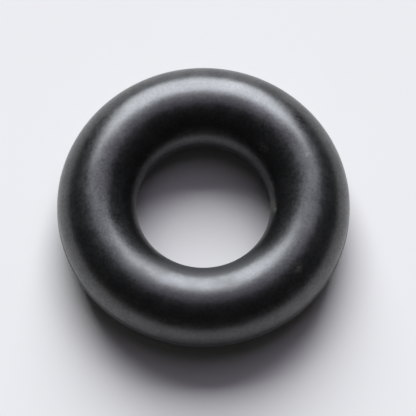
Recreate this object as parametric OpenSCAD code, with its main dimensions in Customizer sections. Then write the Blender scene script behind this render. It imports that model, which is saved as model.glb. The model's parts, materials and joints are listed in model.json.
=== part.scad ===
// Rubber o-ring with a thick round section, lying flat.
// Millimetres. The origin is the centre of the ring, and Z is its axis.

/* [Ring] */
// Inside diameter, across the trimmed band round the bore
inside_d = 5.94; // [2:0.01:60]
// Diameter of the round cross-section
section_d = 3.53; // [1:0.01:10]

/* [Parting line] */
// Height of the band where the mould flash was trimmed flush, round the bore and round the outside
trim_band_h = 0.36; // [0.1:0.02:0.9]

/* [Hidden] */
$fn = 180;
rubber_colour = [0.06, 0.06, 0.065];

// Thickness of the rubber from the inner trimmed band to the outer one
radial_t = sqrt(pow(section_d, 2) - pow(trim_band_h, 2));
// Radius of the circle that the centre of the cross-section runs along
centre_r = (inside_d + radial_t) / 2;

// Round cross-section, with its inner and outer extremes trimmed to narrow flats
module cross_section() {
    intersection() {
        circle(d = section_d);
        square([radial_t, 2 * section_d], center = true);
    }
}

// The whole ring is one moulding
module o_ring() {
    color(rubber_colour)
        rotate_extrude()
            translate([centre_r, 0])
                cross_section();
}

o_ring();
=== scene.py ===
# A moulded rubber o-ring lying flat on a pale floor, in metres, with the origin at the centre of the ring
import json
import math

import bmesh
import bpy
from mathutils import Matrix, Vector


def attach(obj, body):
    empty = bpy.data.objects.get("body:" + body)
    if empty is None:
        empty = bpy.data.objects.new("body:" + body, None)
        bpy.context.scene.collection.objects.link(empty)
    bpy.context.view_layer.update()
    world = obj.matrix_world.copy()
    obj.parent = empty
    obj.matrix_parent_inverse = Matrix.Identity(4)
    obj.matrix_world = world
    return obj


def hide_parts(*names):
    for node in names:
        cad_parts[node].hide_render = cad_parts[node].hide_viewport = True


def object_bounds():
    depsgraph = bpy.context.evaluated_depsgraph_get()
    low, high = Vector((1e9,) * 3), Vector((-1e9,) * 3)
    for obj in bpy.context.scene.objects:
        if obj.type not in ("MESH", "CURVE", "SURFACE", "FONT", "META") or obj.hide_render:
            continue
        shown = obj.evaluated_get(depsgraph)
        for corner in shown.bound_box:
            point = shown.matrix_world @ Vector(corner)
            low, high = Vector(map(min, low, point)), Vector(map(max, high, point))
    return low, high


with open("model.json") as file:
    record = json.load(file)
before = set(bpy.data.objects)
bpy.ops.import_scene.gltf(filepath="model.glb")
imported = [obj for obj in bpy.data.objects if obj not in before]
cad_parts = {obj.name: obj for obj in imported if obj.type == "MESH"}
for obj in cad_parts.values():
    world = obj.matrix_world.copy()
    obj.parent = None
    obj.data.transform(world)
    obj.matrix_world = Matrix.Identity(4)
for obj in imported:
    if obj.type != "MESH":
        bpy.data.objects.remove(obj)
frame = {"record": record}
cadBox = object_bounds()
print("frame loaded, ring box", cadBox)

mm = 0.001

# The ring's sizes come from its mounts, which are the trimmed bands at the bore and round the outside
mounts = {mount["name"]: mount for mount in frame["record"]["mounts"]}
boreRadius = mounts["shaft_seat"]["dims"]["r_mm"] * mm
outsideRadius = mounts["housing_seat"]["dims"]["r_mm"] * mm
bandHeight = mounts["shaft_seat"]["dims"]["length_mm"] * mm
sectionRadius = (cadBox[1].z - cadBox[0].z) / 2
centreRadius = (boreRadius + outsideRadius) / 2
trimDistance = (outsideRadius - boreRadius) / 2  # from the section's centre to either band


def onRing(around, over):
    # around: degrees from +X, anticlockwise from above
    # over: degrees from the outside wall, up over the crest
    a = math.radians(around)
    b = math.radians(over)
    reach = centreRadius + sectionRadius * math.cos(b)
    return Vector((reach * math.cos(a), reach * math.sin(a), sectionRadius * math.sin(b)))


def towardsSky(azimuth, elevation):
    # azimuth: degrees from +Y towards +X
    a = math.radians(azimuth)
    e = math.radians(elevation)
    return Vector((math.sin(a) * math.cos(e), math.cos(a) * math.cos(e), math.sin(e)))


def addObject(name, data):
    made = bpy.data.objects.new(name, data)
    bpy.context.scene.collection.objects.link(made)
    return made


def meshFrom(bm, name, material):
    mesh = bpy.data.meshes.new(name)
    bm.to_mesh(mesh)
    bm.free()
    mesh.materials.append(material)
    return addObject(name, mesh)


class NodeSheet:
    # A short way to write nodes: most methods make one node and hand back its output
    def __init__(self, tree):
        self.tree = tree

    def node(self, kind, **settings):
        made = self.tree.nodes.new(kind)
        for name, value in settings.items():
            setattr(made, name, value)
        return made

    def put(self, socket, value):
        if isinstance(value, bpy.types.NodeSocket):
            self.tree.links.new(value, socket)
        else:
            socket.default_value = value

    def fill(self, made, **values):
        # the sockets' names are given with their spaces taken out
        named = {socket.name.replace(" ", ""): socket for socket in made.inputs if socket.enabled}
        for name, value in values.items():
            self.put(named[name], value)
        return [socket for socket in made.outputs if socket.enabled]

    def math(self, operation, a, b=0.0):
        made = self.node("ShaderNodeMath", operation=operation)
        self.put(made.inputs[0], a)
        self.put(made.inputs[1], b)
        return made.outputs[0]

    def vector(self, operation, a, b):
        made = self.node("ShaderNodeVectorMath", operation=operation)
        self.put(made.inputs[0], a)
        self.put(made.inputs[1], b)
        return made.outputs["Value" if operation in ("DISTANCE", "DOT_PRODUCT") else "Vector"]

    def remap(self, value, low, high, toLow=0.0, toHigh=1.0):
        made = self.node("ShaderNodeMapRange", interpolation_type="SMOOTHSTEP")
        return self.fill(made, Value=value, FromMin=low, FromMax=high, ToMin=toLow, ToMax=toHigh)[0]

    def noise(self, place, scale, detail, roughness):
        made = self.node("ShaderNodeTexNoise")
        return self.fill(made, Vector=place, Scale=scale, Detail=detail, Roughness=roughness)[0]

    def shift(self, noise, reach):
        # a noise lies round 0.5, and becomes a shift of up to half the reach either way
        return self.math("MULTIPLY", self.math("SUBTRACT", noise, 0.5), reach)

    def mix(self, factor, a, b):
        return self.fill(self.node("ShaderNodeMix", data_type="RGBA"), Factor=factor, A=a, B=b)[0]

    def blend(self, factor, a, b):
        return self.fill(self.node("ShaderNodeMix", data_type="FLOAT"), Factor=factor, A=a, B=b)[0]

    def use(self, group, **values):
        outputs = self.fill(self.node("ShaderNodeGroup", node_tree=group), **values)
        return {socket.name: socket for socket in outputs}


def newGroup(name, inputs, outputs):
    # inputs: socket names with their defaults. outputs: names of float sockets
    tree = bpy.data.node_groups.new(name, "ShaderNodeTree")
    for socketName, default in inputs.items():
        kind = "NodeSocketFloat" if isinstance(default, float) else "NodeSocketVector"
        made = tree.interface.new_socket(name=socketName, in_out="INPUT", socket_type=kind)
        made.default_value = default
    for socketName in outputs:
        tree.interface.new_socket(name=socketName, in_out="OUTPUT", socket_type="NodeSocketFloat")
    sheet = NodeSheet(tree)
    return sheet, sheet.node("NodeGroupInput").outputs, sheet.node("NodeGroupOutput").inputs


def newMaterial(name):
    material = bpy.data.materials.new(name)
    material.use_nodes = True
    material.node_tree.nodes.clear()
    sheet = NodeSheet(material.node_tree)
    shader = sheet.node("ShaderNodeBsdfPrincipled")
    sheet.put(sheet.node("ShaderNodeOutputMaterial").inputs["Surface"], shader.outputs["BSDF"])
    return material, sheet, shader.inputs


def placeInMillimetres(sheet):
    place = sheet.node("ShaderNodeTexCoord").outputs["Object"]
    return sheet.fill(sheet.node("ShaderNodeMapping"), Vector=place, Scale=(1 / mm, 1 / mm, 1 / mm))[0]


# Effects as node groups, for any material. Places and lengths are in mm, and scales are per mm
grainBuild = {
    "tooth": {"detail": 2.0, "roughness": 0.6},
    "patches": {"detail": 3.0, "roughness": 0.6},
}


def makeFineGrain():
    # A moulded or cast surface: a fine tooth on broader, softer patches
    sheet, given, out = newGroup(
        "fineGrain",
        {"Place": (0, 0, 0), "Grain Scale": 12.0, "Patch Scale": 1.0, "Patch Share": 0.4},
        ["Tooth", "Patches", "Mottle"],
    )
    tooth = sheet.noise(given["Place"], given["Grain Scale"], **grainBuild["tooth"])
    patches = sheet.noise(given["Place"], given["Patch Scale"], **grainBuild["patches"])
    sheet.put(out["Tooth"], tooth)
    sheet.put(out["Patches"], patches)
    sheet.put(out["Mottle"], sheet.blend(given["Patch Share"], tooth, patches))
    return sheet.tree


dustBuild = {
    "leastReach": 0.3,  # of the speck size, and what is drawn by chance comes on top
    "edge": (1.0, 0.6),  # shares of a speck's reach at which it starts and is full
}


def makeDust():
    # Scattered specks: a share of the cells holds one
    sheet, given, out = newGroup(
        "dust",
        {"Place": (0, 0, 0), "Cell Scale": 1.0, "Share": 0.1, "Speck Size": 0.05},
        ["Mask"],
    )
    cells = sheet.node("ShaderNodeTexVoronoi")
    distance, chance = sheet.fill(cells, Vector=given["Place"], Scale=given["Cell Scale"])[:2]
    drawn = sheet.fill(sheet.node("ShaderNodeSeparateColor"), Color=chance)
    kept = sheet.math("LESS_THAN", drawn[0], given["Share"])
    away = sheet.math("DIVIDE", distance, given["Cell Scale"])
    size = sheet.math("ADD", drawn[1], dustBuild["leastReach"])
    reach = sheet.math("MULTIPLY", given["Speck Size"], size)
    near = sheet.remap(sheet.math("DIVIDE", away, reach), *dustBuild["edge"])
    sheet.put(out["Mask"], sheet.math("MULTIPLY", kept, near))
    return sheet.tree


smudgeBuild = {
    "edge": {"detail": 3.0, "roughness": 0.6},
    "edgeBreaks": (0.3, 0.7),
    "edgeReach": (0.5, 1.5),  # shares of the radius between those breaks
    "cover": {"detail": 3.0, "roughness": 0.7},
    "coverBreaks": (0.35, 0.6),
    "coverStrength": (0.25, 1.0),
}


def makeSmudge():
    # One thin mark with a ragged edge and a patchy cover, round or drawn out between two points
    build = smudgeBuild
    sheet, given, out = newGroup(
        "smudge",
        {
            "Place": (0, 0, 0), "From": (0, 0, 0), "To": (1, 0, 0), "Radius": 0.2, "Strength": 1.0,
            "Edge Scale": 2.5, "Cover Scale": 8.0,
        },
        ["Mask"],
    )
    run = sheet.vector("SUBTRACT", given["To"], given["From"])
    along = sheet.vector("SUBTRACT", given["Place"], given["From"])
    passed = sheet.vector("DOT_PRODUCT", along, run)
    reached = sheet.math("DIVIDE", passed, sheet.vector("DOT_PRODUCT", run, run))
    reached = sheet.math("MAXIMUM", sheet.math("MINIMUM", reached, 1.0), 0.0)
    away = sheet.vector("DISTANCE", along, sheet.vector("MULTIPLY", run, reached))
    ragged = sheet.noise(given["Place"], given["Edge Scale"], **build["edge"])
    ragged = sheet.remap(ragged, *build["edgeBreaks"], *build["edgeReach"])
    share = sheet.math("DIVIDE", away, sheet.math("MULTIPLY", given["Radius"], ragged))
    cover = sheet.noise(given["Place"], given["Cover Scale"], **build["cover"])
    cover = sheet.remap(cover, *build["coverBreaks"], *build["coverStrength"])
    mask = sheet.math("MULTIPLY", sheet.remap(share, 1.0, 0.0), cover)
    sheet.put(out["Mask"], sheet.math("MULTIPLY", mask, given["Strength"]))
    return sheet.tree


fineGrain = makeFineGrain()
dust = makeDust()
smudge = makeSmudge()
print("effects made")

# The rubber. Colours are linear and lengths in mm. Breaks are two levels of a noise, between which a look
# turns from its first value to its second
rubberLook = {
    "colour": (0.0042, 0.0043, 0.0044, 1),
    "bloomColour": (0.0058, 0.0058, 0.0062, 1),  # a faint grey bloom
    "bloomBreaks": (0.45, 0.70),
    "roughness": (0.285, 0.395),
    "roughnessBreaks": (0.3, 0.7),
    "ior": 1.68,
    "toothPerMm": 8.0,
    "toothDepth": 0.0012,
    "patchesPerMm": 1.3,
    "patchShare": 0.4,
    # a smooth trace of wax, as the share of the surface that it covers
    "wax": (0.0, 0.5),
    "thickWax": (0.35, 0.85),
    "waxBreaks": (0.40, 0.60),
    "waxRoughness": 0.30,
    # broad patches without wax
    "smootherBy": 0.06,
    "dullerBy": 0.06,
    # the bore is rubbed dull on one side
    "boreRoughness": 0.6,
    "boreEdge": (0.90, 0.58),  # where this starts and is full, from the bore's wall towards the crest
    "boreRagged": 0.25,
    "boreAround": -84,  # the middle of that side, in degrees from +X
    "boreSpan": (0.66, 0.90),  # cosines of the angles from there at which it starts and is full
    # the trimmed bands are duller, with fine lines from the trimming
    "bandColour": (0.0060, 0.0060, 0.0062, 1),
    "bandPalerColour": (0.0150, 0.0150, 0.0155, 1),
    "bandRoughness": (0.48, 0.72),
    "bandEdge": 0.03,
    "bandWaves": {"scale": 3.0, "detail": 5.0, "roughness": 0.65},
    "bandRagged": 0.14,
    "lines": {"scale": 2.5, "detail": 4.0, "roughness": 0.65},
    "linesDrawnOut": 7.0,
    "lineBreaks": (0.35, 0.65),
    "lineDepth": 2.0,  # times the tooth's
    # dust, and one olive grey for a faint smear and for patches on the bore's wall that are a painted
    # reflection of lit floor
    "dustPerMm": 1.6,
    "dustShare": 0.05,
    "dustSize": 0.035,
    "dustStrength": 0.5,
    "dustHeight": 4.0,  # times the tooth's depth
    "dustColour": (0.26, 0.255, 0.25, 1),
    "dustRoughness": 0.8,
    "dryColour": (0.14, 0.14, 0.105, 1),
    "dryRoughness": 0.6,
}

# Faint marks, each drawn out between two places. A place is degrees round the ring and over its section, as
# onRing takes them, and after the places come the mark's radius in mm and its strength
lintMarks = {
    "speck": ((22.5, 81.3), (21.5, 83.1), 0.11, 0.55),
    "spot": ((43.0, 131.5), (40.0, 130.0), 0.2, 0.09),
}
# boreUpper and boreLower are a painted reflection of lit floor on the bore's wall, in olive grey, and
# shoulder is a faint grey smear
depositAndReflectionMarks = {
    "boreUpper": ((16.5, 158.0), (11.5, 155.0), 0.24, 0.75),
    "boreLower": ((1.5, 158.0), (-9.5, 150.0), 0.28, 0.85),
    "shoulder": ((-38.4, 68.0), (-40.4, 65.0), 0.26, 0.2),
}

# Broad patches of another gloss, written as the marks are
waxyPatches = {
    "backRight": ((72, 77), (45, 79), 1.3, 0.9),
    "backLeft": ((142, 82), (122, 82), 1.2, 0.8),
    "right": ((-11, 96), (-21, 93), 0.9, 0.9),
    "back": ((107, 94), (73, 94), 0.8, 0.9),
}
smoothPatches = {
    "left": ((172, 88), (158, 80), 1.4, 1.0),
    "right": ((38, 81), (25, 88), 1.2, 1.0),
    "leftFront": ((-178, 101), (-166, 104), 0.9, 0.9),
}
dullPatches = {
    "front": ((-72, 102), (-125, 102), 1.4, 1.0),
}
patchGrain = {"EdgeScale": 0.8, "CoverScale": 1.6}


def markMask(sheet, place, marks, **grain):
    mask = 0.0
    for start, end, radius, strength in marks.values():
        ends = {"From": onRing(*start) / mm, "To": onRing(*end) / mm}
        mark = sheet.use(smudge, Place=place, Radius=radius, Strength=strength, **ends, **grain)
        mask = sheet.math("MAXIMUM", mask, mark["Mask"])
    return mask


def bandMask(sheet, place):
    # the trimmed bands lie where the height is near zero, and end in a slightly ragged edge
    look = rubberLook
    height = sheet.math("ABSOLUTE", sheet.fill(sheet.node("ShaderNodeSeparateXYZ"), Vector=place)[2])
    waves = sheet.noise(place, **look["bandWaves"])
    height = sheet.math("ADD", height, sheet.shift(waves, look["bandRagged"]))
    edge = bandHeight / mm / 2
    return sheet.remap(height, edge + look["bandEdge"], edge - look["bandEdge"])


def boreMask(sheet, place, patches):
    # the dull side of the bore, from its wall up towards the crest
    look = rubberLook
    level = sheet.vector("MULTIPLY", place, (1.0, 1.0, 0.0))
    reach = sheet.vector("DISTANCE", level, (0.0, 0.0, 0.0))
    around = math.radians(look["boreAround"])
    along = sheet.vector("DOT_PRODUCT", level, (math.cos(around), math.sin(around), 0.0))
    side = sheet.remap(sheet.math("DIVIDE", along, reach), *look["boreSpan"])
    away = sheet.math("SUBTRACT", reach, boreRadius / mm)
    away = sheet.math("ADD", away, sheet.shift(patches, look["boreRagged"]))
    return sheet.math("MULTIPLY", side, sheet.remap(away, *look["boreEdge"]))


def rubberColour(sheet, grain, lines, masks):
    look = rubberLook
    bloom = sheet.remap(grain["Patches"], *look["bloomBreaks"])
    paler = sheet.remap(lines, *look["lineBreaks"])
    bandColour = sheet.mix(paler, look["bandColour"], look["bandPalerColour"])
    colour = sheet.mix(bloom, look["colour"], look["bloomColour"])
    colour = sheet.mix(masks["band"], colour, bandColour)
    # olive grey for a faint smear and for a painted reflection on the bore's wall
    colour = sheet.mix(masks["dry"], colour, look["dryColour"])
    return sheet.mix(masks["dusty"], colour, look["dustColour"])


def rubberRoughness(sheet, grain, lines, masks):
    look = rubberLook
    bandRoughness = sheet.remap(lines, *look["lineBreaks"], *look["bandRoughness"])
    rough = sheet.remap(grain["Mottle"], *look["roughnessBreaks"], *look["roughness"])
    rough = sheet.math("ADD", rough, sheet.math("MULTIPLY", masks["dull"], look["dullerBy"]))
    rough = sheet.math("SUBTRACT", rough, sheet.math("MULTIPLY", masks["smooth"], look["smootherBy"]))
    rough = sheet.blend(masks["bore"], rough, look["boreRoughness"])
    rough = sheet.blend(masks["band"], rough, bandRoughness)
    rough = sheet.blend(masks["dry"], rough, look["dryRoughness"])
    return sheet.blend(masks["dusty"], rough, look["dustRoughness"])


def waxShare(sheet, grain, masks):
    look = rubberLook
    thin = sheet.remap(grain["Mottle"], *look["waxBreaks"], *look["wax"])
    thick = sheet.remap(grain["Mottle"], *look["waxBreaks"], *look["thickWax"])
    wax = sheet.blend(masks["waxy"], thin, thick)
    for bare in ("dull", "smooth", "bore", "band", "dry", "dusty"):
        wax = sheet.math("MULTIPLY", wax, sheet.math("SUBTRACT", 1.0, masks[bare]))
    return wax


def rubberNormal(sheet, grain, lines, specks, band):
    look = rubberLook
    raised = sheet.math("ADD", grain["Tooth"], sheet.math("MULTIPLY", specks, look["dustHeight"]))
    cuts = sheet.math("MULTIPLY", sheet.math("MULTIPLY", band, lines), look["lineDepth"])
    height = sheet.math("ADD", raised, cuts)
    depth = look["toothDepth"] * mm
    return sheet.fill(sheet.node("ShaderNodeBump"), Height=height, Distance=depth, Strength=1.0)[0]


def makeRubber():
    look = rubberLook
    material, sheet, shader = newMaterial("mouldedRubber")
    place = placeInMillimetres(sheet)
    grain = sheet.use(
        fineGrain, Place=place, GrainScale=look["toothPerMm"], PatchScale=look["patchesPerMm"],
        PatchShare=look["patchShare"],
    )
    drawnOut = sheet.vector("MULTIPLY", place, (1.0, 1.0, look["linesDrawnOut"]))
    lines = sheet.noise(drawnOut, **look["lines"])
    specks = sheet.use(
        dust, Place=place, CellScale=look["dustPerMm"], Share=look["dustShare"],
        SpeckSize=look["dustSize"],
    )["Mask"]
    scattered = sheet.math("MULTIPLY", specks, look["dustStrength"])
    masks = {
        "waxy": markMask(sheet, place, waxyPatches, **patchGrain),
        "smooth": markMask(sheet, place, smoothPatches, **patchGrain),
        "dull": markMask(sheet, place, dullPatches, **patchGrain),
        "bore": boreMask(sheet, place, grain["Patches"]),
        "band": bandMask(sheet, place),
        # a faint smear, and patches of painted reflection on the bore's wall
        "dry": markMask(sheet, place, depositAndReflectionMarks),
        "dusty": sheet.math("MAXIMUM", scattered, markMask(sheet, place, lintMarks)),
    }
    sheet.put(shader["Base Color"], rubberColour(sheet, grain, lines, masks))
    sheet.put(shader["Roughness"], rubberRoughness(sheet, grain, lines, masks))
    sheet.put(shader["IOR"], look["ior"])
    sheet.put(shader["Coat Weight"], waxShare(sheet, grain, masks))
    sheet.put(shader["Coat Roughness"], look["waxRoughness"])
    sheet.put(shader["Normal"], rubberNormal(sheet, grain, lines, specks, masks["band"]))
    return material


rubber = makeRubber()
print("rubber finish made")

ringBuild = {
    "sectionEdges": 124,  # round the section, before it is trimmed
    "bandEdges": 4,  # across a trimmed band
    "quarterSteps": 120,  # round a quarter of the ring
    "creaseAngle": 4,  # degrees at which an edge shows as a crease
    "cutWithin": 1e-9,  # metres
    "mergeWithin": 1e-7,
}


def trimSection(bm, side):
    # cuts the section off flat at one band, and closes it there
    build = ringBuild
    bmesh.ops.bisect_plane(
        bm, geom=bm.verts[:] + bm.edges[:], dist=build["cutWithin"], clear_outer=True,
        plane_co=(centreRadius + side * trimDistance, 0, 0), plane_no=(side, 0, 0),
    )
    ends = [vert for vert in bm.verts if len(vert.link_edges) == 1]
    flat = bmesh.ops.contextual_create(bm, geom=ends)["edges"]
    bmesh.ops.subdivide_edges(bm, edges=flat, cuts=build["bandEdges"] - 1)


def makeRing():
    build = ringBuild
    bm = bmesh.new()
    upright = Matrix.Translation((centreRadius, 0, 0)) @ Matrix.Rotation(math.radians(90), 4, "X")
    bmesh.ops.create_circle(
        bm, cap_ends=False, segments=build["sectionEdges"], radius=sectionRadius, matrix=upright,
    )
    for side in (-1, 1):  # at the bore, then at the outside
        trimSection(bm, side)
    bmesh.ops.spin(
        bm, geom=bm.verts[:] + bm.edges[:], cent=(0, 0, 0), axis=(0, 0, 1),
        angle=math.pi / 2, steps=build["quarterSteps"],
    )
    for axis in ("X", "Y"):
        whole = bm.verts[:] + bm.edges[:] + bm.faces[:]
        bmesh.ops.mirror(bm, geom=whole, axis=axis, merge_dist=build["mergeWithin"])
    bmesh.ops.remove_doubles(bm, verts=bm.verts[:], dist=build["mergeWithin"])
    bmesh.ops.recalc_face_normals(bm, faces=bm.faces[:])
    for face in bm.faces:
        face.smooth = True
    for edge in bm.edges:  # the trimmed bands end in a fine crease
        edge.smooth = edge.calc_face_angle(0) < math.radians(build["creaseAngle"])
    return meshFrom(bm, "rubberRing", rubber)


ring = makeRing()
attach(ring, "root")
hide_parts("o_ring")
print("ring made,", len(ring.data.polygons), "faces")

# The floor is pale and plain, at the ring's lowest point. Lengths in mm
floorLook = {
    "size": 1200,
    "colour": (0.81, 0.79, 0.76, 1),
    "palerColour": (0.83, 0.81, 0.78, 1),
    "grainPerMm": 4.0,
    "patchesPerMm": 0.15,
    "patchShare": 0.2,
}


def makeFloor():
    look = floorLook
    material, sheet, shader = newMaterial("paleFloor")
    grain = sheet.use(
        fineGrain, Place=placeInMillimetres(sheet), GrainScale=look["grainPerMm"],
        PatchScale=look["patchesPerMm"], PatchShare=look["patchShare"],
    )
    sheet.put(shader["Base Color"], sheet.mix(grain["Patches"], look["colour"], look["palerColour"]))
    sheet.put(shader["Roughness"], 1.0)
    sheet.put(shader["Specular IOR Level"], 0.0)
    bm = bmesh.new()
    level = Matrix.Translation((0, 0, cadBox[0].z))
    bmesh.ops.create_grid(bm, x_segments=1, y_segments=1, size=look["size"] * mm / 2, matrix=level)
    meshFrom(bm, "floor", material)


makeFloor()
print("floor made")

# The camera. Pixels are of the 416 by 416 photograph
cameraView = {
    "frame": 416,
    "pixelsPerMm": 22.568,
    "ringCentre": (203.42, 207.30),  # where the ring's centre shows, from the left and from the top
    "elevation": 69.66,
    "sensor": 36,  # mm, as the lens is
    "lens": 1000,
    "clip": (0.1, 10),  # nearest and farthest that it sees, as shares of its distance
}


def makeCamera():
    look = cameraView
    back = towardsSky(180, look["elevation"])  # from the ring to the camera
    up = towardsSky(0, 90 - look["elevation"])
    pixel = mm / look["pixelsPerMm"]
    half = look["frame"] / 2
    aside = half - look["ringCentre"][0]  # pixels from the ring's centre to the middle of the frame
    above = look["ringCentre"][1] - half
    distance = half * pixel / (look["sensor"] / 2 / look["lens"])
    data = bpy.data.cameras.new("camera")
    data.sensor_width = look["sensor"]
    data.lens = look["lens"]
    data.clip_start = distance * look["clip"][0]
    data.clip_end = distance * look["clip"][1]
    camera = addObject("camera", data)
    camera.location = (Vector((1, 0, 0)) * aside + up * above) * pixel + back * distance
    camera.rotation_mode = "QUATERNION"
    camera.rotation_quaternion = (-back).to_track_quat("-Z", "Y")
    bpy.context.scene.camera = camera


makeCamera()

# Lamps. Azimuth and elevation are where a lamp stands, and across and high are the angles that it fills, in
# degrees from the ring. Distance is in mm. Brightness is that of the lamp's own face, where 1 is white
lamps = {
    "softbox": {
        "azimuth": -3, "elevation": 36.8, "distance": 2500, "across": 46, "high": 45.3,
        "brightness": 8.2, "colour": (0.96, 1.0, 1.066), "shape": "RECTANGLE",
    },
    "overhead": {
        "azimuth": 16.3, "elevation": 61.9, "distance": 2500, "across": 39.6, "high": 68.6,
        "brightness": 0.71, "colour": (1.06, 1.0, 1.28), "shape": "ELLIPSE",
    },
}
roomBrightness = 0.029  # of the world all round, on the same scale


def makeLamp(name):
    look = lamps[name]
    towards = towardsSky(look["azimuth"], look["elevation"])
    distance = look["distance"] * mm
    data = bpy.data.lights.new(name, "AREA")
    data.shape = look["shape"]
    data.size = 2 * distance * math.tan(math.radians(look["across"] / 2))
    data.size_y = 2 * distance * math.tan(math.radians(look["high"] / 2))
    fullness = math.pi / 4 if look["shape"] == "ELLIPSE" else 1
    data.energy = look["brightness"] * math.pi * data.size * data.size_y * fullness
    data.color = look["colour"]
    lamp = addObject(name, data)
    lamp.location = towards * distance
    lamp.rotation_mode = "QUATERNION"
    lamp.rotation_quaternion = (-towards).to_track_quat("-Z", "Y")
    lamp.visible_camera = False


def makeRoom():
    world = bpy.data.worlds.new("room")
    bpy.context.scene.world = world
    world.use_nodes = True
    world.node_tree.nodes["Background"].inputs["Color"].default_value = 3 * (roomBrightness,) + (1,)


for lampName in lamps:
    makeLamp(lampName)
makeRoom()
bpy.context.scene.view_settings.view_transform = "Standard"
print("camera and lamps made")
